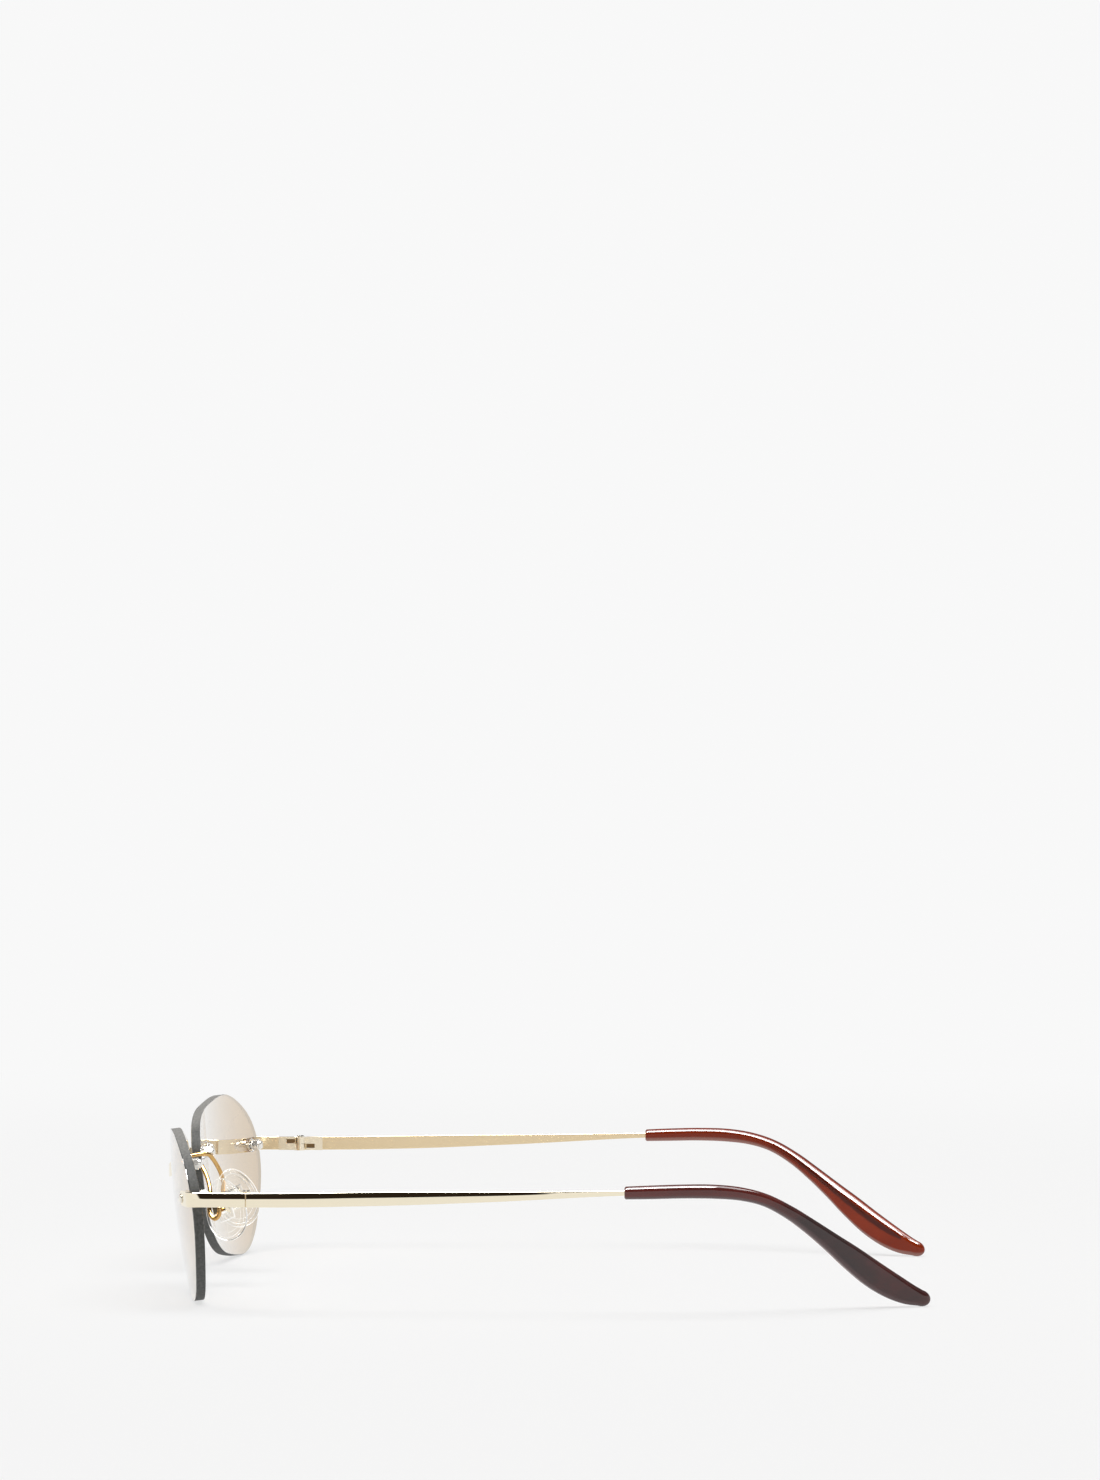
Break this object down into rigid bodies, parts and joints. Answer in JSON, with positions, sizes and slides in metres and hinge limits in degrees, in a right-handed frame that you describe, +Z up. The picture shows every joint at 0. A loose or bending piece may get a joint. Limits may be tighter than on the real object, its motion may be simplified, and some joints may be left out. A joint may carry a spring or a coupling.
{
  "type": "rimless eyeglasses",
  "caption": "Rimless eyeglasses: drilled tinted lenses, gold bridge and tapered strip temples on folding hinges, clear nose pads and curved dark acetate tips.",
  "frame": {"origin": "middle of the bounding box at the height of the surface that the glasses stand on", "axes": "+X to the wearer's left, +Y back along the temples to their tips, +Z up"},
  "size_m": [0.1426, 0.151, 0.0333],
  "materials": {
    "gold_metal": "polished pale gold plating",
    "polished_hardware": "polished pale gold small parts",
    "lens_resin": "polished tinted resin with a frosted ground edge",
    "clear_plastic": "clear polished",
    "silicone": "clear soft silicone",
    "acetate": "polished translucent red-brown acetate"
  },
  "bodies": {
    "front": {"left_lens": "lens_resin", "left_endpiece_screw": "polished_hardware", "left_endpiece_bush": "clear_plastic", "left_endpiece_washer": "polished_hardware", "left_endpiece_nut": "polished_hardware", "left_bridge_screw": "polished_hardware", "left_bridge_bush": "clear_plastic", "left_bridge_washer": "polished_hardware", "left_bridge_nut": "polished_hardware", "left_pad_holder": "gold_metal", "left_pad_screw": "polished_hardware", "left_pad_arm": "gold_metal", "left_endpiece": "gold_metal", "left_front_hinge_leaf": "gold_metal", "left_hinge_screw": "polished_hardware", "right_lens": "lens_resin", "right_endpiece_screw": "polished_hardware", "right_endpiece_bush": "clear_plastic", "right_endpiece_washer": "polished_hardware", "right_endpiece_nut": "polished_hardware", "right_bridge_screw": "polished_hardware", "right_bridge_bush": "clear_plastic", "right_bridge_washer": "polished_hardware", "right_bridge_nut": "polished_hardware", "right_pad_holder": "gold_metal", "right_pad_screw": "polished_hardware", "right_pad_arm": "gold_metal", "right_endpiece": "gold_metal", "right_front_hinge_leaf": "gold_metal", "right_hinge_screw": "polished_hardware", "bridge": "gold_metal"},
    "left_temple": {"left_temple": "gold_metal", "left_temple_tip": "acetate", "left_temple_hinge_leaf": "gold_metal"},
    "left_pad": {"left_nose_pad": "silicone", "left_pad_boss": "clear_plastic"},
    "right_temple": {"right_temple": "gold_metal", "right_temple_tip": "acetate", "right_temple_hinge_leaf": "gold_metal"},
    "right_pad": {"right_nose_pad": "silicone", "right_pad_boss": "clear_plastic"}
  },
  "joints": [
    {"name": "left_temple_fold", "type": "hinge", "parent": "front", "child": "left_temple", "pos_m": [0.0669, -0.05448, 0.0215], "axis": [0.0175, 0, 0.9998], "range_deg": [0, 85]},
    {"name": "right_temple_fold", "type": "hinge", "parent": "front", "child": "right_temple", "pos_m": [-0.0669, -0.05448, 0.0215], "axis": [0.0175, 0, -0.9998], "range_deg": [0, 77]},
    {"name": "left_pad_rock", "type": "hinge", "parent": "front", "child": "left_pad", "pos_m": [0.01477, -0.06375, 0.01517], "axis": [-0.2842, -0.881, -0.3783], "range_deg": [-10, 10]},
    {"name": "right_pad_rock", "type": "hinge", "parent": "front", "child": "right_pad", "pos_m": [-0.01477, -0.06375, 0.01517], "axis": [-0.2842, 0.881, 0.3783], "range_deg": [-10, 10]}
  ]
}
